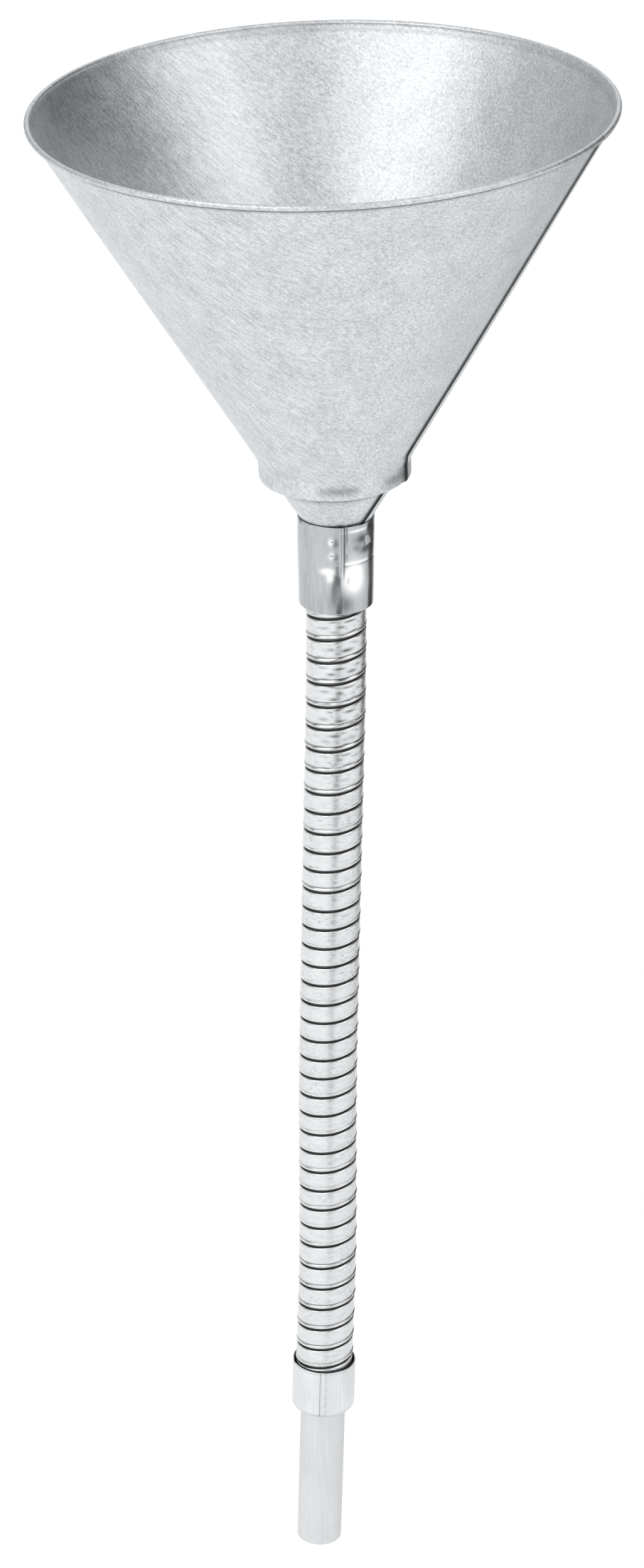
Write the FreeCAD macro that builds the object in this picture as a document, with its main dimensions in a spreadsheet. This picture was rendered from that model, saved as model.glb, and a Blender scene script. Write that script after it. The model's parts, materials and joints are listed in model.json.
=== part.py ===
import FreeCAD, Part
import Sketcher
import math
import os
from FreeCAD import Placement, Rotation, Vector

# Sheet-metal funnel with a flexible interlocked spout, in millimetres.
# The origin is the centre of the rim's top plane and +Z points up the bowl's axis.
# Everything hangs below the origin, so depths are given as positive numbers.
# The bowl is a cone that ends in an upright band, where the strainer seats. A lower cone
# leads from the band into a collar, and the collar holds the hose's first turn. Each turn
# has a sleeve that slips into the turn above and a band that covers the turn below.
# The last turn, the ferrule and the outlet tube move together.

doc = FreeCAD.newDocument("funnel")

DRIVING = {
    "sheetWall": 0.45,      # all the sheet metal
    "slack": 0.05,          # between pieces that are soldered or crimped together
    "rimRadius": 105,       # outside the rolled bead
    "beadRadius": 1.05,
    "wireRadius": 0.55,
    "slotInner": 104.15,    # the curl's open seam, under the bead
    "slotOuter": 104.65,
    "slotFootDepth": 2.5,
    "slotHeight": 1.05,
    "coneTopRadius": 103.4,
    "coneTopDepth": 1.6,
    "slantWall": 0.52,      # the wall measured level across the cone
    "bandRadius": 27.7,
    "bandTopDepth": 131.5,
    "bandFootDepth": 138.2,
    "shoulderRadius": 21.6,
    "shoulderDepth": 141.0,
    "flangeRadius": 24.5,   # the lower cone's flange, which lies on the bowl's shoulder
    "flangeDepth": 139.0,
    "neckRadius": 21.45,
    "neckDepth": 140.4,
    "throatTopDepth": 141.4,
    "spigotRadius": 13.3,
    "spigotTopDepth": 154.4,
    "spigotFootDepth": 163.5,
    "collarDepth": 154.4,   # the collar's top edge, on its own leaning axis
    "collarRadius": 14.2,
    "collarFootRadius": 13.9,
    "collarLength": 34.8,
    "hoopRadius": 27.15,    # strainer, which stands in the band on the shoulder
    "hoopBore": 24.6,
    "hoopWall": 0.6,
    "hoopTopDepth": 131.8,
    "hoopFootDepth": 137.6,
    "gauzeWall": 0.5,
    "gauzeHole": 2.1,
    "gauzePitch": 2.9,
    "gauzeRows": 15,
    "gauzeField": 22.6,
    "turnRadius": 11.4,     # hose
    "turnPitch": 8.6,
    "turnGap": 1.25,        # axial play between one turn's lip and the next turn
    "turnPlay": 0.25,       # radial play in the interlock
    "sleeveRadius": 9.95,
    "sleeveDrop": 1.9,      # from a joint's centre down the sleeve to the turn's shoulder
    "firstJointDepth": 40.5,    # below the collar's top edge
    "endFlangeRadius": 13.2,
    "endFlangeRise": 23.0,
    "endTurnFoot": 25.45,
    "ferruleRadius": 12.7,
    "ferruleTop": 6.4,      # ferrule and tube are measured down from the last joint
    "ferruleFoot": 27.5,
    "ferruleRounding": 0.9,
    "tubeRadius": 8.9,
    "tubeWall": 0.5,
    "shankRadius": 9.1,     # the tube is a little thicker where the ferrule holds it,
    "shankFoot": 28.3,      # down to just below the ferrule's foot
    "tubeFlangeRadius": 12.1,
    "tubeFoot": 91.2,
}
TURNS = 38                  # joints in the hose
COLLAR_LEAN = 1.6           # degrees, towards -X
LEANS = (                   # share of the hose's length and the lean there, in degrees
    (0.0, 1.6),
    (0.12, 3.0),
    (0.55, 2.75),
    (0.68, 1.6),
    (0.80, 1.75),
    (0.94, 3.9),
    (1.0, 3.2),
)

sheet = doc.addObject("Spreadsheet::Sheet", "Dims")
for row, (alias, size) in enumerate(DRIVING.items(), start=1):
    sheet.set(f"A{row}", alias)
    sheet.set(f"B{row}", str(size))
    sheet.setAlias(f"B{row}", alias)
doc.recompute()


def dim(alias):
    return float(sheet.get(alias))


def bind(obj, **sizes):
    for name, expression in sizes.items():
        obj.setExpression(name, expression)


def draw_outline(sketch, corners):
    """Closed outline through corners, each an (x, y) pair of expressions on the sheet."""
    where = [Vector(*(float(sketch.evalExpression(e)) for e in pair)) for pair in corners]
    for start, end in zip(where, where[1:] + where[:1]):
        sketch.addGeometry(Part.LineSegment(start, end), False)
    last = len(corners) - 1
    for n in range(len(corners)):
        before = last if n == 0 else n - 1
        sketch.addConstraint(Sketcher.Constraint("Coincident", before, 2, n, 1))
    for n, pair in enumerate(corners):
        for kind, expression, place in zip(("DistanceX", "DistanceY"), pair, where[n]):
            number = sketch.addConstraint(Sketcher.Constraint(kind, -1, 1, n, 1, place))
            sketch.setExpression(f"Constraints[{number}]", expression)


def revolved_body(label, corners):
    """PartDesign body turned about its own Z from an outline of (radius, height)."""
    body = doc.addObject("PartDesign::Body", label)
    sketch = body.newObject("Sketcher::SketchObject", label + "_outline")
    plane = next(f for f in body.Origin.OriginFeatures if f.Role == "XZ_Plane")
    sketch.AttachmentSupport = [(plane, "")]
    sketch.MapMode = "FlatFace"
    draw_outline(sketch, corners)
    doc.recompute()
    turned = body.newObject("PartDesign::Revolution", label + "_turned")
    turned.Profile = sketch
    turned.ReferenceAxis = (sketch, ["V_Axis"])
    turned.Angle = 360
    body.Tip = turned
    return body


def cylinder(name, radius, height, foot):
    made = doc.addObject("Part::Cylinder", name)
    bind(made, Radius=radius, Height=height)
    made.setExpression("Placement.Base.z", foot)
    return made


def torus(name, ring, tube, centre):
    made = doc.addObject("Part::Torus", name)
    bind(made, Radius1=ring, Radius2=tube)
    made.setExpression("Placement.Base.z", centre)
    return made


def cut(name, base, tool):
    made = doc.addObject("Part::Cut", name)
    made.Base = base
    made.Tool = tool
    return made


def leaned(lean, point):
    return Placement(point, Rotation(Vector(0, 1, 0), lean))


def lean_at(share):
    for (low, before), (high, after) in zip(LEANS, LEANS[1:]):
        if share <= high:
            return before + (after - before) * (share - low) / (high - low)
    return LEANS[-1][1]


def hose_route():
    """Placement of each joint, the first at the collar and the last at the ferrule."""
    collar_top = Vector(0, 0, -dim("collarDepth"))
    down = leaned(COLLAR_LEAN, collar_top)
    point = down.multVec(Vector(0, 0, -dim("firstJointDepth")))
    route = []
    for n in range(TURNS):
        place = leaned(lean_at(n / (TURNS - 1)), point)
        route.append(place)
        point = place.multVec(Vector(0, 0, -dim("turnPitch")))
    return route


def make_bowl():
    wall = "Dims.sheetWall"
    sheet_cone = revolved_body("bowl_cone", [
        ("Dims.coneTopRadius", "-Dims.coneTopDepth"),
        ("Dims.bandRadius", "-Dims.bandTopDepth"),
        ("Dims.bandRadius", "-Dims.bandFootDepth"),
        ("Dims.shoulderRadius", "-Dims.shoulderDepth"),
        ("Dims.shoulderRadius", f"-Dims.shoulderDepth + {wall}"),
        (f"Dims.bandRadius - {wall}", f"-Dims.bandFootDepth + {wall}"),
        (f"Dims.bandRadius - {wall}", f"-Dims.bandTopDepth + {wall} / 2"),
        ("Dims.coneTopRadius - Dims.slantWall", "-Dims.coneTopDepth"),
    ])
    bead_ring = "Dims.rimRadius - Dims.beadRadius"
    bead = torus("bead", bead_ring, "Dims.beadRadius", "-Dims.beadRadius")
    hollow = torus("bead_hollow", bead_ring, f"Dims.beadRadius - {wall}", "-Dims.beadRadius")
    seam_outer = cylinder("seam_outer", "Dims.slotOuter", "Dims.slotHeight", "-Dims.slotFootDepth")
    seam_inner = cylinder("seam_inner", "Dims.slotInner", "Dims.slotHeight", "-Dims.slotFootDepth")
    curl = cut("curl", cut("bead_shell", bead, hollow), cut("seam_ring", seam_outer, seam_inner))
    bowl = doc.addObject("Part::Fuse", "bowl")
    bowl.Base = sheet_cone
    bowl.Tool = curl
    return bowl


def make_rim_wire():
    return torus(
        "rim_wire", "Dims.rimRadius - Dims.beadRadius", "Dims.wireRadius", "-Dims.beadRadius"
    )


def make_strainer_hoop():
    return revolved_body("strainer_hoop", [
        ("Dims.hoopRadius - Dims.hoopWall", "-Dims.hoopTopDepth"),
        ("Dims.hoopRadius", "-Dims.hoopTopDepth - Dims.hoopWall"),
        ("Dims.hoopRadius", "-Dims.hoopFootDepth"),
        ("Dims.hoopBore", "-Dims.hoopFootDepth"),
        ("Dims.hoopBore", "-Dims.hoopFootDepth + Dims.hoopWall"),
        ("Dims.hoopRadius - Dims.hoopWall", "-Dims.hoopFootDepth + Dims.hoopWall"),
    ])


def make_gauze():
    """Flat disc on the hoop's ledge, with square holes out to the ledge."""
    foot = "-Dims.hoopFootDepth + Dims.hoopWall + Dims.slack"
    disc = cylinder("gauze_disc", "Dims.hoopRadius - Dims.hoopWall - Dims.slack", "Dims.gauzeWall", foot)
    doc.recompute()
    hole, pitch, rows = dim("gauzeHole"), dim("gauzePitch"), int(dim("gauzeRows"))
    low = -dim("hoopFootDepth")
    punch_height = dim("hoopWall") + 2 * dim("gauzeWall")
    middle = (rows - 1) / 2
    holes = []
    for across in range(rows):
        for along in range(rows):
            x, y = (across - middle) * pitch, (along - middle) * pitch
            if math.hypot(abs(x) + hole / 2, abs(y) + hole / 2) < dim("gauzeField"):
                corner = Vector(x - hole / 2, y - hole / 2, low)
                holes.append(Part.makeBox(hole, hole, punch_height, corner))
    punch = doc.addObject("Part::Feature", "gauze_punch")
    punch.Shape = Part.makeCompound(holes)
    return cut("strainer_gauze", disc, punch)


def make_throat():
    """Lower cone: a flange on the bowl's shoulder, a short neck, the cone and a spigot."""
    wall = "Dims.sheetWall"
    return revolved_body("throat", [
        ("Dims.flangeRadius", "-Dims.flangeDepth"),
        ("Dims.neckRadius", "-Dims.neckDepth"),
        ("Dims.neckRadius", "-Dims.throatTopDepth"),
        ("Dims.spigotRadius", "-Dims.spigotTopDepth"),
        ("Dims.spigotRadius", "-Dims.spigotFootDepth"),
        (f"Dims.spigotRadius - {wall}", "-Dims.spigotFootDepth"),
        (f"Dims.spigotRadius - {wall}", "-Dims.spigotTopDepth"),
        (f"Dims.neckRadius - {wall}", "-Dims.throatTopDepth"),
        (f"Dims.neckRadius - {wall}", f"-Dims.neckDepth + {wall}"),
        ("Dims.flangeRadius", f"-Dims.flangeDepth + {wall}"),
    ])


def make_collar():
    """Slightly tapered sleeve, turned in at its foot to meet the hose."""
    wall, length = "Dims.sheetWall", "-Dims.collarLength"
    return revolved_body("collar", [
        ("Dims.collarRadius", "0"),
        ("Dims.collarFootRadius", length),
        ("Dims.turnRadius + Dims.slack", length),
        ("Dims.turnRadius + Dims.slack", f"{length} + {wall}"),
        (f"Dims.collarFootRadius - {wall}", f"{length} + {wall}"),
        (f"Dims.collarRadius - {wall}", "0"),
    ])


# The interlock, with heights counted from the joint's own centre: a sleeve's flange stands
# above the centre and the lip of the turn above it hangs below, turnGap apart.
SLEEVE = [
    ("Dims.sleeveRadius - Dims.sheetWall", "Dims.turnGap / 2 + Dims.sheetWall"),
    ("Dims.turnRadius - Dims.sheetWall - Dims.turnPlay", "Dims.turnGap / 2 + Dims.sheetWall"),
    ("Dims.turnRadius - Dims.sheetWall - Dims.turnPlay", "Dims.turnGap / 2"),
    ("Dims.sleeveRadius", "Dims.turnGap / 2"),
    ("Dims.sleeveRadius", "-Dims.sleeveDrop - Dims.sheetWall"),
    ("Dims.turnRadius", "-Dims.sleeveDrop - Dims.sheetWall"),
]
SHOULDER = [
    ("Dims.turnRadius - Dims.sheetWall", "-Dims.sleeveDrop - Dims.sheetWall * 2"),
    ("Dims.sleeveRadius - Dims.sheetWall", "-Dims.sleeveDrop - Dims.sheetWall * 2"),
]


def lip(joint):
    """The turned-in lip whose joint is at this height."""
    return [
        ("Dims.turnRadius", f"{joint} - Dims.turnGap / 2 - Dims.sheetWall"),
        ("Dims.sleeveRadius + Dims.turnPlay", f"{joint} - Dims.turnGap / 2 - Dims.sheetWall"),
        ("Dims.sleeveRadius + Dims.turnPlay", f"{joint} - Dims.turnGap / 2"),
        ("Dims.turnRadius - Dims.sheetWall", f"{joint} - Dims.turnGap / 2"),
    ]


def make_turns(route):
    """Turn 00 is fixed in the collar, turns 01 to 37 are free and the last is in the ferrule."""
    wall = "Dims.sheetWall"
    top_end = revolved_body("hose_turn_00", [
        (f"Dims.turnRadius - {wall}", "Dims.endFlangeRise"),
        ("Dims.endFlangeRadius", "Dims.endFlangeRise"),
        ("Dims.endFlangeRadius", f"Dims.endFlangeRise - {wall}"),
        ("Dims.turnRadius", f"Dims.endFlangeRise - {wall}"),
    ] + lip("0"))
    top_end.Placement = leaned(COLLAR_LEAN, route[0].Base)

    outline = doc.addObject("Sketcher::SketchObject", "turn_outline")
    outline.Placement = Placement(Vector(), Rotation(Vector(1, 0, 0), 90))
    draw_outline(outline, SLEEVE + lip("-Dims.turnPitch") + SHOULDER)
    doc.recompute()
    turns = [top_end]
    for n, place in enumerate(route[:-1], start=1):
        turn = doc.addObject("Part::Revolution", f"hose_turn_{n:02d}")
        turn.Source = outline
        turn.Axis = Vector(0, 0, 1)
        turn.Base = Vector()
        turn.Angle = 360
        turn.Solid = True
        turn.Placement = place
        turns.append(turn)

    last = revolved_body(f"hose_turn_{TURNS:02d}", SLEEVE + [
        ("Dims.turnRadius", "-Dims.endTurnFoot"),
        (f"Dims.turnRadius - {wall}", "-Dims.endTurnFoot"),
    ] + SHOULDER)
    last.Placement = route[-1]
    return turns + [last]


def make_ferrule():
    wall, foot = "Dims.sheetWall", "-Dims.ferruleFoot"
    return revolved_body("ferrule", [
        ("Dims.ferruleRadius", "-Dims.ferruleTop"),
        ("Dims.ferruleRadius", f"{foot} + Dims.ferruleRounding"),
        ("Dims.ferruleRadius - Dims.ferruleRounding", foot),
        ("Dims.shankRadius + Dims.slack", foot),
        ("Dims.shankRadius + Dims.slack", f"{foot} + {wall}"),
        ("Dims.ferruleRadius - Dims.ferruleRounding", f"{foot} + {wall}"),
        (f"Dims.ferruleRadius - {wall}", f"{foot} + Dims.ferruleRounding"),
        (f"Dims.ferruleRadius - {wall}", "-Dims.ferruleTop"),
    ])


def make_outlet_tube():
    """Plain tube hung by its flange, which sits between the last turn and the ferrule's foot."""
    bore, step = "Dims.tubeRadius - Dims.tubeWall", "Dims.sheetWall"
    return revolved_body("outlet_tube", [
        (bore, "-Dims.endTurnFoot - Dims.slack"),
        ("Dims.tubeFlangeRadius", "-Dims.endTurnFoot - Dims.slack"),
        ("Dims.tubeFlangeRadius", f"-Dims.endTurnFoot - Dims.slack - {step}"),
        ("Dims.shankRadius", f"-Dims.endTurnFoot - Dims.slack - {step}"),
        ("Dims.shankRadius", "-Dims.shankFoot"),
        ("Dims.tubeRadius", "-Dims.shankFoot"),
        ("Dims.tubeRadius", "-Dims.tubeFoot"),
        (bore, "-Dims.tubeFoot"),
    ])


def build():
    route = hose_route()
    pieces = [
        make_bowl(),
        make_rim_wire(),
        make_strainer_hoop(),
        make_gauze(),
        make_throat(),
    ]
    collar = make_collar()
    collar.Placement = leaned(COLLAR_LEAN, Vector(0, 0, -dim("collarDepth")))
    pieces.append(collar)
    pieces += make_turns(route)
    for made in (make_ferrule(), make_outlet_tube()):
        made.Placement = route[-1]
        pieces.append(made)
    doc.recompute()
    return pieces


def check(pieces):
    for obj in doc.Objects:
        if "Invalid" in obj.State or "Error" in obj.State:
            raise RuntimeError(f"{obj.Label} did not recompute: {obj.State}")
    for piece in pieces:
        if piece.Shape.isNull() or not piece.Shape.isValid() or not piece.Shape.Solids:
            raise RuntimeError(f"{piece.Label} is not a valid solid")


pieces = build()
check(pieces)
os.makedirs("parts", exist_ok=True)
for piece in pieces:
    piece.Shape.exportStep(f"parts/{piece.Label}.step")
    print(f"{piece.Label}: {piece.Shape.Volume:.1f} mm3, {len(piece.Shape.Solids)} solid(s)")
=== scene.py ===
import bpy
import json
import math
import random
import numpy as np
from mathutils import Matrix, Vector

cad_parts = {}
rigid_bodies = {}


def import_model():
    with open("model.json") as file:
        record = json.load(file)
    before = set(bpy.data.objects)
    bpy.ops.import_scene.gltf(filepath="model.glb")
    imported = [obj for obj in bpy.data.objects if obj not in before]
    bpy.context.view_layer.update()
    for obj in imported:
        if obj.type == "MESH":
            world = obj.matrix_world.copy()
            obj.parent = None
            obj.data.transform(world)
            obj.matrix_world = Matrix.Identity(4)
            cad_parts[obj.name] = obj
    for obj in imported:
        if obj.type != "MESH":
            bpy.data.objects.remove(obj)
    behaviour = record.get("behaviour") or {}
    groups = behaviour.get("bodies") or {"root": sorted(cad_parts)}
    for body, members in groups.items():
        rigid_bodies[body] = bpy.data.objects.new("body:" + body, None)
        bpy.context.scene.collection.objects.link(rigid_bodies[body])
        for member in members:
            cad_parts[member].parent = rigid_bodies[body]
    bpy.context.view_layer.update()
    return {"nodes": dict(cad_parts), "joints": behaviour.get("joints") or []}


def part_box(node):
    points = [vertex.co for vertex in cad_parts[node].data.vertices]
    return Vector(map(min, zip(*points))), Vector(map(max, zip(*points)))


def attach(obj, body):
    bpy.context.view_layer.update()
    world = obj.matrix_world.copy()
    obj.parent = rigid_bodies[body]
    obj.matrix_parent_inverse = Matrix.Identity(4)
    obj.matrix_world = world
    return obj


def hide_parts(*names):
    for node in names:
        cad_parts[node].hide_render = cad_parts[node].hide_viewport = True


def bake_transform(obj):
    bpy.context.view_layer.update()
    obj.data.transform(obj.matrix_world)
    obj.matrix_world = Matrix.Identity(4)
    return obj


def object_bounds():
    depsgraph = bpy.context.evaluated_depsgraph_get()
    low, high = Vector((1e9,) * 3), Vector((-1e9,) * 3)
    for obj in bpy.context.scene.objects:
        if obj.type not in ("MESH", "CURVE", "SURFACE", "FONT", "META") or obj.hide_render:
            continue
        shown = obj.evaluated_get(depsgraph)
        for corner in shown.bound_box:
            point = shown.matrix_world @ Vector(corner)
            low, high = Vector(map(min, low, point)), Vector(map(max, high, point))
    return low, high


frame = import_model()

mm = 0.001
print("frame loaded,", len(frame["nodes"]), "nodes")


# shader maths: an expression on a Value, which wraps a socket, adds Math nodes
class Value:
    def __init__(self, look, socket):
        self.look = look
        self.socket = socket

    def maths(self, operation, first, second):
        return self.look.add("ShaderNodeMath", {"operation": operation}, {0: first, 1: second}, "Value")

    def __add__(self, other):
        return self.maths("ADD", self, other)

    def __rsub__(self, other):
        return self.maths("SUBTRACT", other, self)

    def __mul__(self, other):
        return self.maths("MULTIPLY", self, other)

    __radd__ = __add__
    __rmul__ = __mul__


class Look:
    # a material with one Principled shader, and the few textures that the metals share
    def __init__(self, name):
        self.material = bpy.data.materials.new(name)
        self.material.use_nodes = True
        self.tree = self.material.node_tree
        self.tree.nodes.clear()
        shader = self.add("ShaderNodeBsdfPrincipled", {}, {}, "BSDF")
        self.shader = shader.socket.node
        self.add("ShaderNodeOutputMaterial", {}, {"Surface": shader}, None)
        self.at = self.add("ShaderNodeTexCoord", {}, {}, "Object")

    def add(self, kind, settings, sockets, output):
        node = self.tree.nodes.new(kind)
        for name, setting in settings.items():
            setattr(node, name, setting)
        for name, given in sockets.items():
            self.feed(node.inputs[name], given)
        return None if output is None else Value(self, node.outputs[output])

    def feed(self, socket, given):
        if isinstance(given, Value):
            self.tree.links.new(given.socket, socket)
        else:
            socket.default_value = given

    def give(self, **sockets):
        for name, given in sockets.items():
            self.feed(self.shader.inputs[name.replace("_", " ")], given)

    def stretched(self, scale, turn=(0, 0, 0)):
        spots = {"Vector": self.at, "Scale": scale, "Rotation": turn}
        return self.add("ShaderNodeMapping", {"vector_type": "TEXTURE"}, spots, "Vector")

    def spread(self, given, low, high):
        # 0 at low and 1 at high, and no further
        spots = {0: given, 1: low, 2: high, 3: 0.0, 4: 1.0}
        return self.add("ShaderNodeMapRange", {"clamp": True}, spots, "Result")

    def cloud(self, size, at=None, detail=3.0, low=0.35, high=0.65):
        # noise from 0 to 1 whose patches are about this size, in metres
        spots = {"Vector": at or self.at, "Scale": 1 / size, "Detail": detail, "Roughness": 0.6}
        return self.spread(self.add("ShaderNodeTexNoise", {}, spots, "Fac"), low, high)

    def specks(self, size, share):
        # small round spots, 1 inside; share is how much of a cell a spot may fill
        settings = {"feature": "F1", "distance": "EUCLIDEAN"}
        spots = {"Vector": self.at, "Scale": 1 / size, "Randomness": 1.0}
        return self.spread(self.add("ShaderNodeTexVoronoi", settings, spots, "Distance"), share, 0.0)

    def mixed(self, share, first, second):
        settings = {"data_type": "RGBA", "clamp_factor": True}
        return self.add("ShaderNodeMix", settings, {0: share, 6: first, 7: second}, 2)

    def bumped(self, height, distance):
        spots = {"Height": height, "Strength": 1.0, "Distance": distance}
        return self.add("ShaderNodeBump", {}, spots, "Normal")

    def painted(self, name):
        # a number kept on the mesh's points
        return self.add("ShaderNodeAttribute", {"attribute_name": name}, {}, "Fac")


def metalTone(level, blue=0.02):
    # a grey, slightly blue where blue is above 0
    return (level * (1 - blue), level, level * (1 + blue), 1)


# finishes; the slots that they are for are listed after them
def galvanisedSheet():
    look = Look("galvanisedSheet")
    rolled = look.stretched((7, 1, 1), (0, math.radians(42), 0))    # the mill's drawn-out streaks
    streaks = look.cloud(0.9 * mm, rolled, detail=4)
    mottle = 0.45 * look.cloud(0.8 * mm, detail=5) + 0.4 * streaks + 0.15 * look.cloud(12 * mm)
    pits = look.specks(7 * mm, 0.08)
    glints = look.specks(5.3 * mm, 0.07)
    colour = look.mixed(mottle, metalTone(0.42, 0.03), metalTone(0.86, 0.02))
    colour = look.mixed(0.55 * pits, colour, metalTone(0.2))
    colour = look.mixed(0.6 * glints, colour, metalTone(0.85))
    # crease carries painted shade and painted dark reflections, with grime along the lap, and darkens the
    # colour
    crease = look.painted("crease")
    look.give(Base_Color=look.mixed(crease, colour, metalTone(0.03)), Metallic=1.0 - 0.6 * crease)
    look.give(Roughness=0.40 + 0.10 * mottle)
    look.give(Normal=look.bumped(mottle + 0.5 * look.cloud(5 * mm), 0.05 * mm))
    return look.material


def springStrip():
    look = Look("springStrip")
    smudge = look.cloud(6 * mm, look.stretched((1, 1, 0.35)), detail=4)
    drawn = look.cloud(2.4 * mm, look.stretched((1, 1, 0.16)), detail=4, low=0.3, high=0.7)
    scuff = look.cloud(1.8 * mm, look.stretched((1, 1, 0.3)), low=0.52, high=0.66)
    worn = look.cloud(19 * mm, low=0.46, high=0.6)
    pits = look.specks(5 * mm, 0.07)
    colour = look.mixed(smudge, metalTone(0.70, 0.012), metalTone(0.80, 0.008))
    colour = look.mixed(0.45 * drawn, colour, metalTone(0.62, 0.015))
    colour = look.mixed(0.6 * scuff * worn, colour, metalTone(0.36))
    # crease carries the hose's painted shade and painted dark reflections, and darkens the colour
    crease = look.painted("crease")
    colour = look.mixed(0.7 * pits, colour, metalTone(0.2))
    look.give(Base_Color=look.mixed(crease, colour, metalTone(0.045)), Metallic=1.0 - 0.5 * crease)
    look.give(Roughness=0.22 + 0.12 * smudge)
    look.give(Normal=look.bumped(smudge + 0.5 * drawn + 0.4 * scuff, 0.035 * mm))
    return look.material


def tinplate():
    look = Look("tinplate")
    film = look.cloud(9 * mm, look.stretched((1, 1, 2.2)), detail=3)
    drawn = look.cloud(0.8 * mm, look.stretched((1, 1, 12)), low=0.3, high=0.7)
    spots = look.specks(6 * mm, 0.1)
    colour = look.mixed(film, metalTone(0.36, 0.03), metalTone(0.47, 0.025))
    colour = look.mixed(0.3 * drawn, colour, metalTone(0.66))
    colour = look.mixed(0.6 * spots, colour, metalTone(0.2))
    mark = look.painted("crease")       # above 0 is painted shade, painted dark reflection and the dark seam line, below 0 is painted highlight
    paintedDark, bright = look.spread(mark, 0.0, 1.0), look.spread(mark, 0.0, -1.0)
    colour = look.mixed(bright, colour, metalTone(0.98, 0))
    look.give(Base_Color=look.mixed(paintedDark, colour, metalTone(0.04)), Metallic=1.0 - 0.6 * paintedDark)
    look.give(Roughness=0.15 + 0.07 * film)
    look.give(Normal=look.bumped(film + 0.15 * drawn, 0.04 * mm))
    return look.material


def satinSteel():
    look = Look("satinSteel")
    film = look.cloud(8 * mm, look.stretched((1, 1, 2)), detail=3)
    drawn = look.cloud(0.9 * mm, look.stretched((1, 1, 14)), low=0.3, high=0.7)
    colour = look.mixed(film, metalTone(0.70, 0.012), metalTone(0.79, 0.01))
    colour = look.mixed(0.4 * drawn, colour, metalTone(0.6))
    # crease carries the ferrule's dark lines, painted shade along the foot and the top edge among them
    crease = look.painted("crease")
    look.give(Base_Color=look.mixed(crease, colour, metalTone(0.07)), Metallic=1.0 - 0.6 * crease)
    look.give(Roughness=0.24 + 0.1 * film)
    look.give(Normal=look.bumped(film + 0.2 * drawn, 0.03 * mm))
    return look.material


def dullAlloy():
    look = Look("dullAlloy")
    drawn = look.cloud(1.1 * mm, look.stretched((1, 1, 22)), low=0.3, high=0.7)
    bloom = look.cloud(12 * mm, look.stretched((1, 1, 2)), detail=4)
    colour = look.mixed(bloom, metalTone(0.66, 0.012), metalTone(0.74, 0.01))
    colour = look.mixed(0.45 * drawn, colour, metalTone(0.6, 0.012))
    look.give(Base_Color=colour, Metallic=0.85)
    look.give(Roughness=0.42 + 0.12 * bloom)
    look.give(Normal=look.bumped(drawn + bloom, 0.02 * mm))
    return look.material


def brightWire():
    look = Look("brightWire")
    film = look.cloud(3 * mm, detail=3)
    look.give(Base_Color=look.mixed(film, metalTone(0.48), metalTone(0.62)), Metallic=1.0)
    look.give(Roughness=0.28 + 0.14 * film)
    look.give(Normal=look.bumped(film, 0.01 * mm))
    return look.material


finishes = {
    "galvanised_sheet": galvanisedSheet(),
    "galvanised_wire": brightWire(),
    "tinplate": tinplate(),
    "hose_strip": springStrip(),
    "ferrule_sheet": satinSteel(),
    "tube_metal": dullAlloy(),
}
finishes["strainer_steel"] = finishes["gauze_steel"] = finishes["galvanised_wire"]
print("finishes mixed,", len(finishes), "slots")


# mesh helpers, with outlines in (radius, height) and azimuths from the front towards +X
def rounded(corners, steps=5):
    # corners are (radius, height, rounding): each rounding becomes an arc
    path = []
    for n, (x, y, size) in enumerate(corners):
        here = Vector((x, y))
        if size == 0:
            path.append((x, y))
            continue
        back = (Vector(corners[n - 1][:2]) - here).normalized()
        onward = (Vector(corners[(n + 1) % len(corners)][:2]) - here).normalized()
        half = back.angle(onward) / 2
        centre = here + (back + onward).normalized() * size / math.sin(half)
        start = here + back * size / math.tan(half) - centre
        end = here + onward * size / math.tan(half) - centre
        sweep = start.angle(end)
        for step in range(steps + 1):
            part = step / steps * sweep
            spoke = (start * math.sin(sweep - part) + end * math.sin(part)) / math.sin(sweep)
            path.append(tuple(centre + spoke))
    return path


def divided(path, longest):
    # adds points so that no step of the closed path is longer than this
    out = []
    for (x, y), (nextX, nextY) in zip(path, path[1:] + path[:1]):
        count = max(1, math.ceil(math.hypot(nextX - x, nextY - y) / longest))
        out += [(x + (nextX - x) * n / count, y + (nextY - y) * n / count) for n in range(count)]
    return np.array(out)


def gridFaces(rows, columns, closedRows=True):
    # quads of a grid whose columns close on themselves, and its rows too unless told
    i, j = np.meshgrid(np.arange(rows if closedRows else rows - 1), np.arange(columns), indexing="ij")
    up, right = (i + 1) % rows, (j + 1) % columns
    quads = [i * columns + j, up * columns + j, up * columns + right, i * columns + right]
    return np.stack(quads, axis=-1).reshape(-1, 4)


def makePiece(name, points, faces, slot, crease=None, smooth=40):
    mesh = bpy.data.meshes.new(name)
    mesh.from_pydata(points.reshape(-1, 3).tolist(), [], faces.tolist())
    mesh.update()
    if crease is not None:
        mesh.attributes.new("crease", "FLOAT", "POINT").data.foreach_set("value", crease.ravel())
    mesh.shade_smooth()
    mesh.set_sharp_from_angle(angle=math.radians(smooth))
    mesh.materials.append(finishes[slot])
    piece = bpy.data.objects.new(name, mesh)
    bpy.context.scene.collection.objects.link(piece)
    return piece


def spun(outline, azimuths, shape=None, seam=0):
    # points of a closed outline turned about Z; shape adds to the radius and gives the crease,
    # and azimuths count from the seam, which may wander with the radius
    azimuth, radius = np.meshgrid(azimuths, outline[:, 0], indexing="ij")
    azimuth = azimuth + (seam(radius) if callable(seam) else seam)
    height = np.broadcast_to(outline[:, 1], radius.shape)
    crease = np.zeros(radius.shape)
    if shape:
        lift, crease = shape(azimuth, radius, height)
        radius = radius + lift
    points = np.stack([radius * np.sin(azimuth), -radius * np.cos(azimuth), height], axis=-1)
    return points * mm, crease


def leaned(points, origin, lean):
    # moves points from a piece's own axis to where it hangs, leaning towards -X
    turn = np.array(Matrix.Rotation(lean, 3, "Y"))
    return points @ turn.T + np.array(origin)


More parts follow.
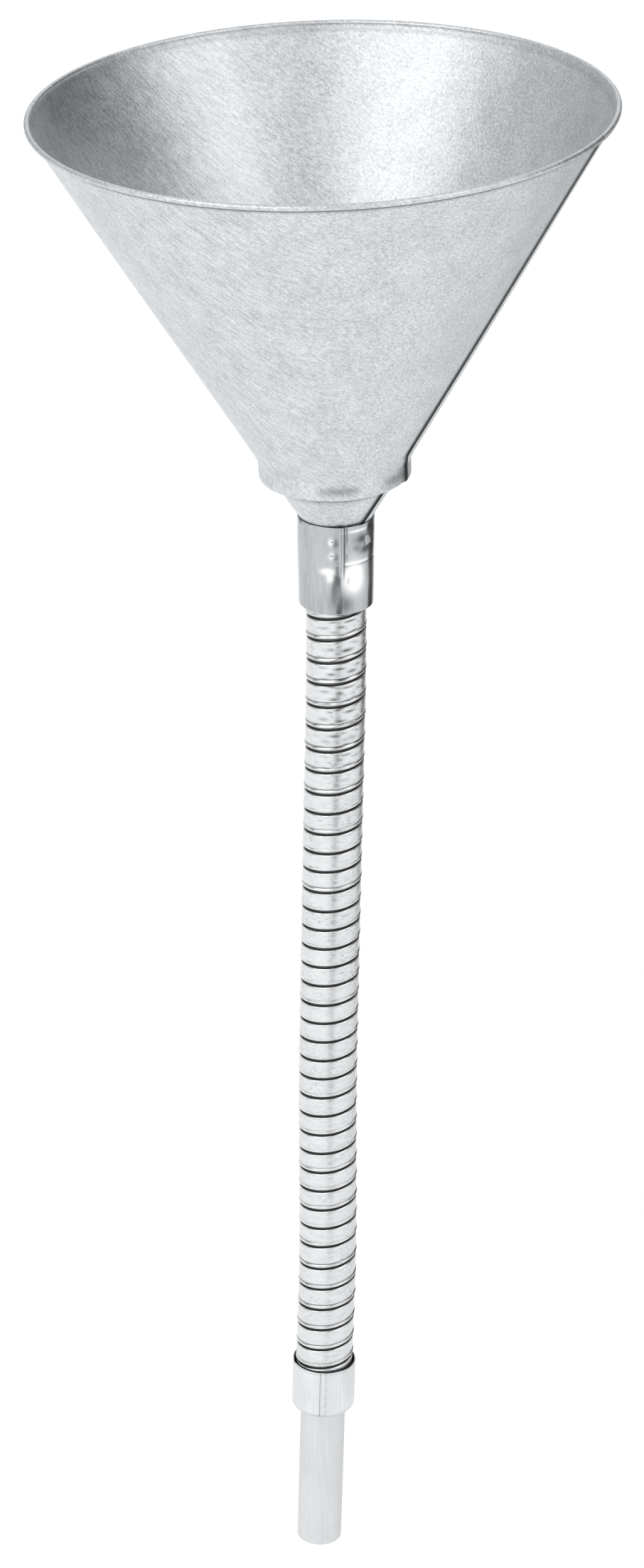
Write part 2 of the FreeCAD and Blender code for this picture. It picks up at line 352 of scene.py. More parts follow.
def around(segments, seamWidth=0):
    # azimuths all the way round from a seam, with more of them beside it
    even = np.linspace(-math.pi, math.pi, segments, endpoint=False)
    if not seamWidth:
        return even
    before = np.linspace(-seamWidth, 0, 5)
    after = seamWidth * np.array([0.02, 0.25, 0.5, 0.75, 1.0, 1.5])
    clear = even[(even < -1.3 * seamWidth) | (even > 1.8 * seamWidth)]
    return np.unique(np.concatenate([clear, before, after]))


def bell(value, middle, width):
    return np.exp(-((value - middle) / width) ** 2)


def rising(value, start, over):
    # 0 up to the start, then up to 1 over this much
    return np.clip((value - start) / over, 0, 1)


def wavy(azimuth, height, waves):
    # each wave has its size in mm, how many go round, mm of height for a radian, and its start
    return sum(most * np.sin(count * azimuth + height / run + start) for most, count, run, start in waves)


# where things are
joints = frame["joints"]
spots = np.array([joint["pos_m"] for joint in joints])
firstStep = spots[1] - spots[0]
collarLean = math.atan2(-firstStep[0], -firstStep[2])
footLean = math.atan2(-joints[-1]["axis"][2], joints[-1]["axis"][0])
pitch = float(np.linalg.norm(firstStep))


# bowl
bowlSizes = {
    "wall": 0.45,
    "rim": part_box("bowl")[1].x / mm - 0.02,
    "bead": 1.05,           # the wired edge's radius
    "tuck": 238,            # degrees, where the curl's free edge meets the cone
    "coneTop": (103.4, -1.6),
    "band": 27.7,
    "bandTop": -131.5,
    "bandFoot": -138.3,
    "shoulder": (21.65, -141.0),
    "segments": 540,
    "seamInside": 1.9,      # how far the lap's edge stands inside the right-hand outline
    "outlineAzimuth": ((22, 24.5, 27.6, 31), (77.6, 90, 90, 77.6)),     # radius, then degrees
    "lap": 0.65,
    "lapWidth": 18,
    "lapGrime": (-0.4, 1.7),    # middle and width, past the lap's edge, of its line of painted shade and grime
    "waves": ((0.14, 3, 31, 0), (0.08, 7, -19, 1.3)),
    "hammered": ((0.05, 23, math.inf, 0), (0.04, 57, math.inf, 1), (0.03, 91, math.inf, 0)),
    "rubbed": ((2, 16, 0.5), (52, 13, 0.5)),    # painted dark reflections on the band: azimuth, width in degrees, and how dark
    "rubbedHeight": -134.7,
    "outsideGrime": (0.75, -2.7),   # painted shade under the bead: how dark, and how high
    "insideGrime": (0.2, -3.1),
    "bandRows": (-136.3, -135.2, -134.2, -133.0),   # heights where the marks need points
    "beadRows": (-4.2, -3.4, -2.8),
}


def lapEdge(radius):
    # azimuth of the side lap's edge, which runs beside the right-hand outline
    inside = np.arccos(np.clip(1 - bowlSizes["seamInside"] / np.maximum(radius, 6), -1, 1))
    return np.radians(np.interp(radius, *bowlSizes["outlineAzimuth"])) - inside


def coneOutside(height):
    # the cone's outer radius at a height
    size = bowlSizes
    run = (size["coneTop"][0] - size["band"]) / (size["coneTop"][1] - size["bandTop"])
    return size["coneTop"][0] + (height - size["coneTop"][1]) * run


def coneShape(azimuth, radius, height):
    # the lap's step with its line of painted shade and grime, painted dark reflections on the band, painted
    # shade at the shoulder and under the bead, and the sheet's slight waves
    size = bowlSizes
    past = (azimuth - lapEdge(radius)) * radius
    inBead = bell(height, -1.0, 1.2)
    lap = np.clip(1 - past / size["lapWidth"], 0, 1) * (past > 0) * size["lap"]
    onCone = height > size["bandTop"] + 1.5
    behind = onCone * (radius < coneOutside(height) - 0.2)
    # painted shade along the lap's step, with seam grime: a dark line just in front of the lap's raised
    # edge, fainter on the inside
    line = bell(past, *size["lapGrime"]) * (past < 0.1) * (1 - inBead) * (1 - 0.75 * behind)
    slack = rising(-height, 0, 30) * rising(-height, 1, 20) * onCone
    waves = wavy(azimuth, height, size["waves"]) * slack
    hammered = wavy(azimuth, height, size["hammered"])
    lift = lap * (1 - inBead) + waves - 0.5 * np.abs(hammered) * inBead
    # painted dark reflections: dark patches on the band at these azimuths
    rubbed = 0 * radius
    for degrees, wide, most in size["rubbed"]:
        rubbed = rubbed + most * np.exp(-((np.degrees(azimuth) - degrees) / wide) ** 4)
    rubbed = rubbed * (radius > size["band"] - 0.2) * bell(height, size["rubbedHeight"], 1.7)
    # painted shade in the crease where the band's foot turns into the shoulder
    joint = 0.6 * bell(height, size["shoulder"][1] - 0.1, 0.45) * (radius > size["shoulder"][0] - 0.7)
    # painted shade in a ring just under the bead, on the outside and on the inside
    most, level = size["outsideGrime"]
    under = most * bell(height, level, 0.6) * (radius > coneOutside(height) - 0.2)
    most, level = size["insideGrime"]
    within = most * bell(height, level, 0.6) * (radius < coneOutside(height) - 0.2)
    return lift, np.clip(line + rubbed + joint + under + within, 0, 0.95)


def bowlOutline():
    # the outside going up, round the bead, then the inside going down
    size = bowlSizes
    beadMiddle = size["rim"] - size["bead"]
    turn = np.radians(np.linspace(size["tuck"], 540, 26))
    bead = [(beadMiddle + size["bead"] * math.cos(a), -size["bead"] * (1 - math.sin(a))) for a in turn]
    inner = size["band"] - size["wall"]
    outer = rounded([
        (size["shoulder"][0], size["shoulder"][1], 0),
        (size["band"], size["bandFoot"], 1.6),
        *((size["band"], row, 0) for row in size["bandRows"]),
        (size["band"], size["bandTop"], 0.9),
        *((coneOutside(row), row, 0) for row in size["beadRows"]),
        (size["coneTop"][0] - 0.35, size["coneTop"][1] - 0.6, 0),
    ])
    back = rounded([
        (size["coneTop"][0] - size["wall"] * 1.15, size["coneTop"][1] - 0.2, 0),
        *((coneOutside(row) - size["wall"] * 1.15, row, 0) for row in reversed(size["beadRows"])),
        (inner, size["bandTop"] + 0.25, 0.6),
        (inner, size["bandFoot"] + 0.4, 1.2),
        (size["shoulder"][0], size["shoulder"][1] + size["wall"], 0),
    ])
    return divided(outer + bead + back, 6.0)


def makeBowl():
    outline = bowlOutline()
    points, crease = spun(outline, around(bowlSizes["segments"], 0.03), coneShape, lapEdge)
    piece = makePiece("bowlShell", points, gridFaces(*points.shape[:2]), "galvanised_sheet", crease)
    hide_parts("bowl")
    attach(piece, "bowl")


makeBowl()
frame["nodes"]["rim_wire"].data.materials.clear()
frame["nodes"]["rim_wire"].data.materials.append(finishes["galvanised_wire"])
print("bowl and wired rim done")


# lower cone
throatSizes = {
    "wall": 0.45,
    "flange": (24.5, -139.0),
    "neck": (21.45, -140.4),
    "coneTop": -141.4,
    "spigot": 13.3,
    "spigotTop": -154.6,
    "spigotFoot": -163.5,
    "segments": 200,
}


def makeThroat():
    size = throatSizes
    wall = size["wall"]
    outline = divided(rounded([
        (size["spigot"] - wall, size["spigotFoot"], 0),
        (size["spigot"], size["spigotFoot"], 0),
        (size["spigot"], size["spigotTop"], 0.8),
        (size["neck"][0], size["coneTop"], 0.5),
        (size["neck"][0], size["neck"][1], 0.25),
        (size["flange"][0], size["flange"][1], 0),
        (size["flange"][0], size["flange"][1] + wall, 0),
        (size["neck"][0] - wall, size["neck"][1] + wall, 0.5),
        (size["neck"][0] - wall, size["coneTop"], 0.5),
        (size["spigot"] - wall, size["spigotTop"], 0.6),
    ]), 2.0)
    points, crease = spun(outline, around(size["segments"], 0.07), coneShape, lapEdge)
    piece = makePiece("lowerCone", points, gridFaces(*points.shape[:2]), "galvanised_sheet", crease)
    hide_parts("throat")
    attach(piece, "bowl")


makeThroat()
print("lower cone done")


# strainer
strainerSizes = {
    "hoopTop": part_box("strainer_hoop")[1].z / mm,
    "hoopFoot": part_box("strainer_hoop")[0].z / mm,
    "hoop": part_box("strainer_hoop")[1].x / mm,
    "bore": 24.6,
    "wall": 0.6,
    "gauze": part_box("strainer_gauze")[1].x / mm - 0.1,
    "gauzeLevel": (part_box("strainer_gauze")[0].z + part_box("strainer_gauze")[1].z) / 2 / mm,
    "wire": 0.24,
    "weave": 0.2,           # how far each wire rises and dips
    "spacing": 2.1,
}


def makeHoop():
    size = strainerSizes
    outline = divided(rounded([
        (size["bore"], size["hoopFoot"], 0.2),
        (size["hoop"], size["hoopFoot"], 0.5),
        (size["hoop"], size["hoopTop"], 0.28),
        (size["hoop"] - size["wall"], size["hoopTop"], 0.28),
        (size["hoop"] - size["wall"], size["hoopFoot"] + size["wall"], 0.3),
        (size["bore"], size["hoopFoot"] + size["wall"], 0.2),
    ]), 1.5)
    points, crease = spun(outline, around(144))
    piece = makePiece("strainerHoop", points, gridFaces(*points.shape[:2]), "strainer_steel", crease)
    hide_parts("strainer_hoop")
    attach(piece, "bowl")


def makeGauze():
    # plain weave: each wire is a sine, and crosswise wires are half a wave apart
    size = strainerSizes
    spokes = np.radians(np.arange(0, 360, 60))
    reach = int(size["gauze"] // size["spacing"])
    points, faces, used = [], [], 0
    for crosswise in (False, True):
        for n in range(-reach, reach + 1):
            place = n * size["spacing"]
            half = math.sqrt(size["gauze"] ** 2 - place ** 2)
            along = np.linspace(-half, half, max(4, int(half * 2.4)))
            phase = math.pi * (n + crosswise)
            rise = size["weave"] * np.cos(math.pi * along / size["spacing"] + phase)
            across = place + size["wire"] * np.cos(spokes)[None, :] + 0 * along[:, None]
            level = size["gauzeLevel"] + rise[:, None] + size["wire"] * np.sin(spokes)[None, :]
            run = along[:, None] + 0 * across
            ring = np.stack([across, run, level] if crosswise else [run, across, level], axis=-1)
            quads = gridFaces(len(along), len(spokes), closedRows=False) + used
            faces += [quad if not crosswise else quad[::-1] for quad in quads.tolist()]
            points.append(ring.reshape(-1, 3))
            used += len(points[-1])
    points = np.concatenate(points) * mm
    piece = makePiece("strainerGauze", points, np.array(faces), "gauze_steel", smooth=80)
    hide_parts("strainer_gauze")
    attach(piece, "bowl")


makeHoop()
makeGauze()
print("strainer done")


# collar
collarSizes = {
    "length": 34.8,
    "top": 14.22,
    "foot": 13.88,
    "bore": 11.5,
    "wall": 0.45,
    "segments": 180,
    "seam": math.radians(9.9),
    "outside": (12.6, 0.8),     # the radius where the outside starts, and over how much
    "lap": 0.3,
    "lapTaper": 0.5,
    "seamFoot": -22,
    "seamFade": 4,
    "seamGrime": (0.4, 0.42),   # middle and width, past the seam
    # ridges along the seam: how high, how far past it, and how wide
    "ridges": ((0.16, -0.7, 0.45), (-0.2, 1.0, 0.6)),
    "groove": -15.3,
    "grooveDepth": 0.16,
    "grooveWidth": 0.35,
    "grooveRound": (0.2, 1.1),  # azimuth of its middle, and how far it runs
    "waves": ((0.05, 2, 7, 0), (0.03, 5, -4, 0)),
    # dents: azimuth in degrees, height, width round, width up, and how deep
    "dents": (
        (-2.4, -5.9, 2.0, 1.5, 0.5),
        (-2.4, -11.3, 2.0, 1.5, 0.5),
        (18.6, -9.2, 1.6, 1.3, 0.22),
        (21.6, -21.8, 1.5, 2.2, 0.30),
        (30.0, -20.5, 6.4, 6.2, 0.85),
        (-15.0, -18.6, 3.0, 3.4, 0.30),
        (-1.0, -26.0, 2.0, 7.0, 0.22),
        (56.0, -8.0, 3.2, 3.6, 0.28),
        (62.0, -3.0, 3.0, 2.0, 0.18),
    ),
    # marks, laid out the same way: above 0 is painted dark reflection, below 0 is painted highlight
    "marks": (
        (-8.0, -5.9, 1.0, 1.3, -0.9),
        (-1.5, -6.1, 1.0, 1.7, 0.6),
        (-7.5, -11.3, 1.0, 1.3, -0.9),
        (-1.0, -11.6, 1.0, 1.7, 0.55),
        (-14.0, -17.6, 2.4, 1.2, -1.0),
        (-10.5, -20.2, 1.2, 1.8, -0.8),
        (0.5, -20.0, 1.1, 4.5, 0.5),
        (29.0, -20.5, 3.6, 5.0, -1.9),
        (20.5, -21.4, 0.9, 1.8, 1.1),
        (42.0, -5.6, 3.0, 1.8, 0.75),
        (50.0, -10.2, 3.2, 1.7, 0.8),
        (31.0, -8.8, 1.5, 1.1, 0.4),
        (66.0, -14.0, 2.0, 16.0, 0.6),
        (14.0, -30.5, 2.4, 3.8, 0.5),
        (-5.0, -28.0, 1.8, 5.0, 0.35),
        (36.0, -2.0, 5.0, 0.5, -0.8),
        (-68.0, -0.4, 1.6, 0.9, 0.9),
    ),
    "markStrength": 1.25,
    "depth": 40.5,          # its top stands this far above the first joint
}


def collarShape(azimuth, radius, height):
    # the lap seam, the groove, the dents, and painted highlights and dark reflections, on the outside only
    size = collarSizes
    outside = rising(radius, *size["outside"])
    before = azimuth - size["seam"]
    fade = rising(height, size["seamFoot"], size["seamFade"])
    past = before * radius
    lap = np.clip(1 + before / size["lapTaper"], 0, 1) * (before <= 0) * size["lap"] * fade
    lap = lap + sum(high * bell(past, where, wide) for high, where, wide in size["ridges"]) * fade
    # a dark line just past the seam, fading out lower down
    line = bell(past, *size["seamGrime"]) * (before > 0) * fade
    groove = size["grooveDepth"] * bell(height, size["groove"], size["grooveWidth"])
    lift = lap - groove * bell(azimuth, *size["grooveRound"])
    for degrees, level, wide, tall, deep in size["dents"]:
        sideways = (azimuth - math.radians(degrees)) * radius
        lift = lift - deep * bell(sideways, 0, wide) * bell(height, level, tall)
    # painted highlights and painted dark reflections, at the dents and along the right-hand side
    for degrees, level, wide, tall, most in size["marks"]:
        sideways = (azimuth - math.radians(degrees)) * radius
        most = size["markStrength"] * most
        line = line + most * bell(sideways, 0, wide) * bell(height, level, tall)
    # painted shade just below the groove and painted highlight just above it, on the right-hand side
    right = rising(azimuth, size["seam"], 0.1) * (azimuth < 1.4)
    under = 0.6 * bell(height, size["groove"] - 0.4, 0.4)
    over = 0.8 * bell(height, size["groove"] + 0.6, 0.5)
    line = line + (under - over) * right
    lift = lift + wavy(azimuth, height, size["waves"])
    return lift * outside, np.clip(line, -1, 0.9) * outside


def makeCollar():
    size = collarSizes
    wall, foot = size["wall"], -size["length"]
    outline = divided(rounded([
        (size["bore"], foot, 0),
        (size["foot"], foot, 0.45),
        (size["top"], 0, 0.2),
        (size["top"] - wall, 0, 0.15),
        (size["foot"] - wall, foot + wall, 0.3),
        (size["bore"], foot + wall, 0),
    ]), 0.5)
    points, crease = spun(outline, around(size["segments"], 0.09), collarShape, size["seam"])
    top = spots[0] + np.array([math.sin(collarLean), 0, math.cos(collarLean)]) * size["depth"] * mm
    points = leaned(points, top, collarLean)
    piece = makePiece("crimpedCollar", points, gridFaces(*points.shape[:2]), "tinplate", crease)
    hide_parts("collar")
    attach(piece, "bowl")


makeCollar()
print("collar done")


# hose: one strip wound round and round, interlocked with itself
hoseSizes = {
    "wall": 0.36,
    "sleeve": 9.95,
    "sleeveTop": -3.1,      # above the turn's own shoulder
    "band": 11.15,
    "lip": 11.38,
    "lipFoot": 6.95,        # below the turn's own shoulder, with the hose closed up
    "closed": 8.0,          # the pitch where it is closed up
    "crease": 5.45,
    "firstShoulder": 6.1,   # below the first joint, at the front
    "turns": (0, 7, 25, 31, 36),            # the play isn't even along the hose,
    "reach": (0, 63.5, 210.1, 261.1, 308.9),    # so these say where some turns lie
    "start": -3.6,
    "end": 38.6,
    "perTurn": 72,
    # a blend would throw these turns far off when every joint is at its limit; here the stiff ones
    # ride with the body above, and the upwards ones stay where they were made, like the rest
    "upwards": (17, 33, 37),
    "stiff": (5, 7, 9, 13, 19, 21),
    "seed": 11,
    "usual": 8.6,           # the pitch above the first turn and below the last of them
    "gape": (0.25, 0.5),    # the play where a gap starts to show, and over how much
    "stretched": (2.4, 2.0),    # how far down the play starts to stretch it, and over how much
    "bandEdge": (10.7, 0.3),    # the radius where the band starts, and over how much
    "wobble": 0.34,
    "rippled": (4.0, 6.5),  # the ripples fade out between these turns
    "rippleLeast": 0.12,
    "rippleRange": (0.2, 1.0),
    "ripple": 0.085,
    "rippleLength": 2.3,
    "widest": 11.4,
}


def stripOutline():
    # (radius, distance down) of the strip's S section: outer side, then back up the inner side
    size = hoseSizes
    wall = size["wall"]
    outer = [
        (size["sleeve"] + 0.8, size["sleeveTop"], 0),
        (size["sleeve"], size["sleeveTop"], 0.3),
        (size["sleeve"], 0.0, 0.3),
        (size["band"], 0.1, 0.6),
        (size["band"], size["crease"] - 0.4, 0),
        (size["band"], size["crease"], 0),
        (size["band"], size["crease"] + 0.25, 0),
        (size["lip"], size["crease"] + 0.6, 0),
        (size["lip"], size["lipFoot"], 0.55),
        (size["sleeve"] + 0.4, size["lipFoot"], 0),
    ]
    inner = [
        (size["sleeve"] + 0.4, size["lipFoot"] - wall, 0),
        (size["lip"] - wall, size["lipFoot"] - wall, 0.2),
        (size["lip"] - wall, size["crease"] + 0.6, 0.4),
        (size["band"] - wall, size["crease"] + 0.2, 0),
        (size["band"] - wall, 0.1 + wall, 0.3),
        (size["sleeve"] - wall, wall, 0.5),
        (size["sleeve"] - wall, size["sleeveTop"] - wall, 0.5),
        (size["sleeve"] + 0.8, size["sleeveTop"] - wall, 0),
    ]
    return divided(rounded(outer + inner, 4), 0.75)


def route(distance):
    # point and lean of the hose's centreline, at a distance in mm below the first joint
    ends = 80 * mm
    up = np.array([math.sin(collarLean), 0, math.cos(collarLean)]) * ends
    down = -np.array([math.sin(footLean), 0, math.cos(footLean)]) * ends
    line = np.concatenate([[spots[0] + up], spots, [spots[-1] + down]])
    far = np.concatenate([[-ends], np.arange(len(spots)) * pitch, [(len(spots) - 1) * pitch + ends]]) / mm
    middles = (far[1:] + far[:-1]) / 2
    steps = np.diff(line, axis=0)
    leans = np.arctan2(-steps[:, 0], -steps[:, 2])
    x = np.interp(distance, far, line[:, 0])
    z = np.interp(distance, far, line[:, 2])
    return x, z, np.interp(distance, middles, leans)


def makeHose():
    size = hoseSizes
    chance = random.Random(size["seed"])
    outline = stripOutline()
    count = int((size["end"] - size["start"]) * size["perTurn"]) + 1
    turn = np.linspace(size["start"], size["end"], count)
    slope = size["usual"]
    reach = np.interp(turn, size["turns"], size["reach"])
    reach = reach + slope * np.minimum(turn, 0) + slope * np.maximum(turn - size["turns"][-1], 0)
    whole = np.arange(math.floor(size["start"]), math.ceil(size["end"]) + 1)
    wobble = np.interp(turn, whole, [chance.uniform(-size["wobble"], size["wobble"]) for n in whole])
    place = reach + wobble
    play = np.append(place[size["perTurn"]:] - place[:-size["perTurn"]], np.full(size["perTurn"], slope))
    play = play - size["closed"]
    gaping = rising(play, *size["gape"])
    ripple = np.interp(turn, whole, [chance.uniform(*size["rippleRange"]) for n in whole])
    early = np.interp(turn, size["rippled"], (1.0, size["rippleLeast"]))
    ripple = ripple * early
    azimuth = -2 * math.pi * turn
    facing = np.remainder(azimuth + math.pi, 2 * math.pi) - math.pi

    radius = np.broadcast_to(outline[:, 0], (count, len(outline))).copy()
    down = np.broadcast_to(outline[:, 1], radius.shape)
    inLip = rising(down, *size["stretched"])        # the play stretches the band, not the lip
    onBand = rising(radius, *size["bandEdge"])
    crease = bell(down, size["crease"], 0.24)
    radius -= (0.03 + 0.2 * gaping[:, None]) * crease * onBand
    waves = np.sin(down * 2 * math.pi / size["rippleLength"] + 1.2) * bell(down, 2.9, 2.0)
    uneven = (0.6 + 0.4 * np.sin(2.3 * azimuth))[:, None]
    radius += size["ripple"] * ripple[:, None] * waves * onBand * uneven
    radius += 0.03 * np.sin(azimuth * 1.37 + 0.6)[:, None] * onBand
    radius = np.minimum(radius, size["widest"])

    # the strip laid along the centreline
    distance = size["firstShoulder"] + place[:, None] + down + play[:, None] * inLip
    x, z, lean = route(distance)
    side = radius * np.sin(azimuth)[:, None] * mm
    front = -radius * np.cos(azimuth)[:, None] * mm
    points = np.stack([x + side * np.cos(lean), front, z - side * np.sin(lean)], axis=-1)
    # painted shade: the strip darkens inside the band's radius, down in the gaps between turns, at each
    # lip's foot, and in the crease where a gap opens
    lipFootShade = 0.8 * bell(down, size["lipFoot"], 0.22) * onBand
    dark = np.clip((11.0 - radius) / 0.4, 0, 1) * 0.92 + lipFootShade + 0.75 * gaping[:, None] * crease * onBand
    # painted dark reflections: broken dark dashes across the bands on the side facing the front, fading out
    # after the first turns
    dashes = np.sin(down * 3.3 + (2.6 * np.sin(1.7 * azimuth) + 1.3 * np.sin(5.3 * azimuth))[:, None])
    broken = 0.5 + 0.5 * np.sin(8.3 * azimuth[:, None] + 1.4 * down)
    central = bell(facing, 0.25, 0.8)[:, None]
    dark = dark + 1.2 * np.clip(dashes - 0.1, 0, 1) * broken * central * early[:, None] * onBand
    dark = np.clip(dark, 0, 0.95)

    faces = gridFaces(count, len(outline), closedRows=False)[:, ::-1]
    flat = points.reshape(-1, 3)
    alongTurn = np.gradient(points, axis=0)
    alongStrip = np.roll(points, -1, axis=1) - np.roll(points, 1, axis=1)
    normals = np.cross(alongStrip, alongTurn).reshape(-1, 3)
    normals /= np.linalg.norm(normals, axis=1)[:, None]

    # each piece crosses one joint, from halfway down one turn to halfway down the next
    middle = distance.ravel()[faces].mean(axis=1)
    last = len(spots)
    owner = np.clip(np.floor(middle / (pitch / mm) + 1.5).astype(int), 0, last)
    halves = (route((n + 0.5) * pitch / mm) for n in range(-1, last))
    halfway = [Vector((x, 0, z)) for x, z, lean in halves]
    for number in range(last + 1):
        mine = faces[owner == number]
        kept, fresh = np.unique(mine, return_inverse=True)
        name = f"hoseTurn_{number:02d}"
        piece = makePiece(name, flat[kept], fresh.reshape(-1, 4), "hose_strip", dark.ravel()[kept])
        piece.data.normals_split_custom_set_from_vertices(normals[kept].tolist())
        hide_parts(f"hose_turn_{number:02d}")
        if number == 0:
            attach(piece, "bowl")
        else:
            above, below = joints[number - 1]["parent"], joints[number - 1]["child"]
            if number in size["stiff"]:
                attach(piece, above)
            elif number in size["upwards"]:
                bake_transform(piece)
            else:
                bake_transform(piece)


makeHose()
print("hose done,", len(joints), "joints crossed")


# ferrule and outlet tube, both measured down from the last joint
ferruleSizes = {
    "radius": 12.68,
    "top": -6.4,
    "foot": -27.5,
    "bore": 8.95,
    "wall": 0.45,
    "outside": (11.4, 0.8),
    "seam": math.radians(-8.6),
    "secondSeam": math.radians(2.5) * 12.7,     # mm round from the front
    "lap": 0.16,
    "lapTaper": 0.6,
    "inset": 0.19,          # how far the outside lies inside its outline
    "segments": 160,
    "tab": math.radians(-72),
    "tabSize": (0.35, 1.6),     # how far it stands out, and how wide
    "waves": ((0.04, 3, 5, 0), (0.03, 6, math.inf, 0)),
}
tubeSizes = {
    "radius": 8.9,
    "wall": 0.5,
    "flange": 12.1,
    "top": -25.6,
    "foot": -91.2,
    "segments": 120,
    "waves": ((0.03, 4, 13, 0),),
    "inset": 0.03,
}


def ferruleShape(azimuth, radius, height):
    # the lap seam and a second line beside it, painted shade along the foot and under the top edge, the
    # rolled top edge, and the small tab
    size = ferruleSizes
    outside = rising(radius, *size["outside"])
    before = azimuth - size["seam"]
    lap = np.clip(1 + before / size["lapTaper"], 0, 1) * (before <= 0) * size["lap"]
    line = bell(np.maximum(before - 0.004, 0) * radius, 0, 0.35) * (before > 0) * 0.5
    second = bell(azimuth * radius, size["secondSeam"], 0.3) * (0.13 + 0.1 * np.sin(height * 1.7))
    # painted shade: a dark line just above the foot's rounding, and one just below the top edge
    second = second + 0.28 * bell(height, size["foot"] + 1.0, 0.4)
    second = second + 0.5 * bell(height, size["top"] - 0.5, 0.25)
    roll = -0.12 * bell(height, size["top"] - 1.3, 0.4)
    high, wide = size["tabSize"]
    tab = high * bell((azimuth - size["tab"]) * radius, 0, wide) * bell(height, size["top"], wide)
    waves = wavy(azimuth, height, size["waves"])
    return (lap + roll + tab + waves - size["inset"]) * outside, (line + second) * outside


def makeFerrule():
    size = ferruleSizes
    wall = size["wall"]
    outline = divided(rounded([
        (size["bore"], size["foot"], 0),
        (size["radius"], size["foot"], 1.5),
        (size["radius"], size["top"], 0.2),
        (size["radius"] - wall, size["top"], 0.15),
        (size["radius"] - wall, size["foot"] + wall, 1.1),
        (size["bore"], size["foot"] + wall, 0),
    ]), 0.6)
    points, crease = spun(outline, around(size["segments"], 0.09), ferruleShape, size["seam"])
    points = leaned(points, spots[-1], footLean)
    piece = makePiece("ferruleSleeve", points, gridFaces(*points.shape[:2]), "ferrule_sheet", crease)
    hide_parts("ferrule")
    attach(piece, "spout")


def makeTube():
    size = tubeSizes
    bore = size["radius"] - size["wall"]
    outline = divided(rounded([
        (bore, size["foot"], 0.2),
        (size["radius"], size["foot"], 0.28),
        (size["radius"], size["top"] - 0.45, 0.2),
        (size["flange"], size["top"] - 0.45, 0),
        (size["flange"], size["top"], 0),
        (bore, size["top"], 0.3),
    ]), 1.5)

    def tubeShape(azimuth, radius, height):
        low = np.clip((size["top"] - 2 - height) / 8, 0, 1)
        return wavy(azimuth, height, size["waves"]) * low - size["inset"], 0 * radius

    points, crease = spun(outline, around(size["segments"]), tubeShape)
    points = leaned(points, spots[-1], footLean)
    piece = makePiece("outletTube", points, gridFaces(*points.shape[:2]), "tube_metal", crease)
    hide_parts("outlet_tube")
    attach(piece, "spout")


makeFerrule()
makeTube()
print("ferrule and tube done")


# studio
studioSizes = {
    "middle": Vector((0, 0, -0.25)),
    "floorDrop": 0.35,      # the funnel hangs by its rim, clear of the floor
    "floorHalf": 9.0,
    "floorGlow": 0.24,
    "world": 0.98,
    "sky": (0.985, 0.995, 1.0, 1),
    # softboxes: azimuth, elevation, distance, width, height, power
    "softboxes": ((-44, 40, 2.3, 2.2, 1.5, 13), (56, 40, 2.3, 1.4, 1.5, 7.5)),
    # cards that the metal reflects and the camera doesn't see:
    # azimuth, elevation, distance, width, height, tone
    "cards": (
        (15, 46, 2.0, 0.7, 1.5, 0.3),
        (-92, 24, 1.7, 0.45, 1.3, 0.02),
        (-140, 22, 1.7, 1.4, 1.3, 0.5),
        (114, 22, 1.7, 2.4, 1.5, 0.04),
        (7, -26, 1.33, 0.36, 0.5, 0.1),
        (128, -22, 1.4, 0.75, 0.8, 0.03),
    ),
}


def standing(azimuth, elevation, distance):
    # a place round the funnel, and the turn that faces its middle from there
    side, up = math.radians(azimuth), math.radians(elevation)
    out = Vector((math.sin(side) * math.cos(up), -math.cos(side) * math.cos(up), math.sin(up)))
    place = studioSizes["middle"] + out * distance
    return Matrix.Translation(place) @ out.to_track_quat("Z", "Y").to_matrix().to_4x4()


def plainLook(name, level):
    look = Look(name)
    soft = look.cloud(0.6, detail=1)
    look.give(Base_Color=look.mixed(soft, metalTone(level, 0), metalTone(level * 1.01, 0)))
    look.give(Roughness=1.0)
    look.shader.inputs["Specular IOR Level"].default_value = 0.0
    return look.material


def makeSheet(name, width, height, place, material):
    mesh = bpy.data.meshes.new(name)
    x, y = width / 2, height / 2
    mesh.from_pydata([(-x, -y, 0), (x, -y, 0), (x, y, 0), (-x, y, 0)], [], [(0, 1, 2, 3)])
    mesh.materials.append(material)
    made = bpy.data.objects.new(name, mesh)
    made.matrix_world = place
    bpy.context.scene.collection.objects.link(made)
    return made


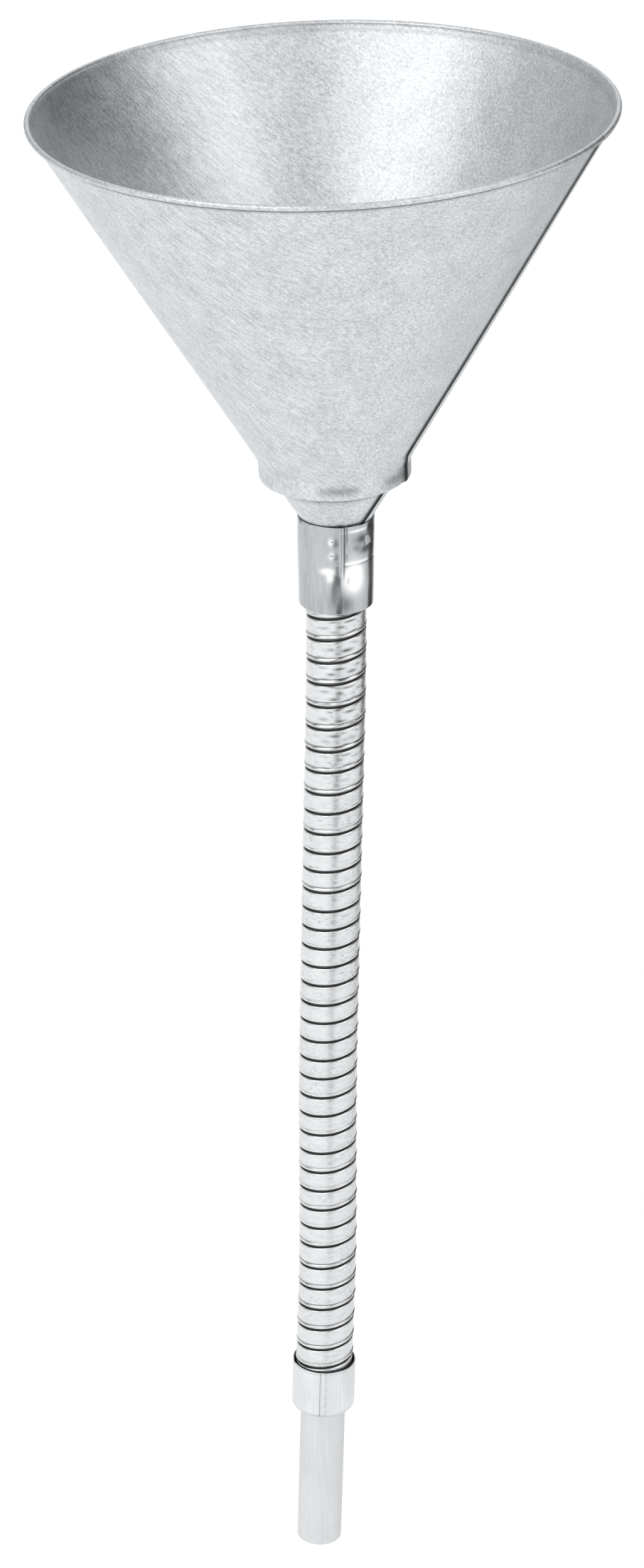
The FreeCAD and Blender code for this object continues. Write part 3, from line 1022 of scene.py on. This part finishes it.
def makeStudio():
    size = studioSizes
    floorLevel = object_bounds()[0][2] - size["floorDrop"]
    span = 2 * size["floorHalf"]
    paper = plainLook("palePaper", 0.9)
    glow = paper.node_tree.nodes["Principled BSDF"].inputs
    glow["Emission Color"].default_value = metalTone(1, 0)
    glow["Emission Strength"].default_value = size["floorGlow"]
    makeSheet("studioFloor", span, span, Matrix.Translation((0, 0, floorLevel)), paper)
    for number, (azimuth, elevation, distance, width, height, tone) in enumerate(size["cards"]):
        card = makeSheet(f"card_{number}", width, height, standing(azimuth, elevation, distance),
                         plainLook(f"cloth_{number}", tone))
        card.visible_camera = False
        card.visible_shadow = False
    for number, (azimuth, elevation, distance, width, height, power) in enumerate(size["softboxes"]):
        light = bpy.data.lights.new(f"softbox_{number}", "AREA")
        light.shape = "RECTANGLE"
        light.size, light.size_y = width, height
        light.energy = power
        lamp = bpy.data.objects.new(light.name, light)
        lamp.matrix_world = standing(azimuth, elevation, distance)
        lamp.visible_camera = False
        bpy.context.scene.collection.objects.link(lamp)
    world = bpy.data.worlds.new("paleStudio")
    world.use_nodes = True
    background = world.node_tree.nodes["Background"]
    background.inputs["Color"].default_value = size["sky"]
    background.inputs["Strength"].default_value = size["world"]
    bpy.context.scene.world = world
    bpy.context.scene.view_settings.view_transform = "Standard"


cameraSizes = {
    "place": (-0.0086, -1.5874, 0.51374),
    "down": math.radians(26.115),
    "roll": math.radians(2.038),
    "lens": 108,
    "sensor": 36,
}


def makeCamera():
    size = cameraSizes
    level = Vector((1, 0, 0))
    ahead = Vector((0, math.cos(size["down"]), -math.sin(size["down"])))
    up = level.cross(ahead)
    across = level * math.cos(size["roll"]) - up * math.sin(size["roll"])
    upright = level * math.sin(size["roll"]) + up * math.cos(size["roll"])
    data = bpy.data.cameras.new("studioCamera")
    data.lens = size["lens"]
    data.sensor_width = size["sensor"]
    camera = bpy.data.objects.new("studioCamera", data)
    turn = Matrix((across, upright, -ahead)).transposed().to_4x4()
    camera.matrix_world = Matrix.Translation(size["place"]) @ turn
    bpy.context.scene.collection.objects.link(camera)
    bpy.context.scene.camera = camera


makeStudio()
makeCamera()
print("studio and camera done")
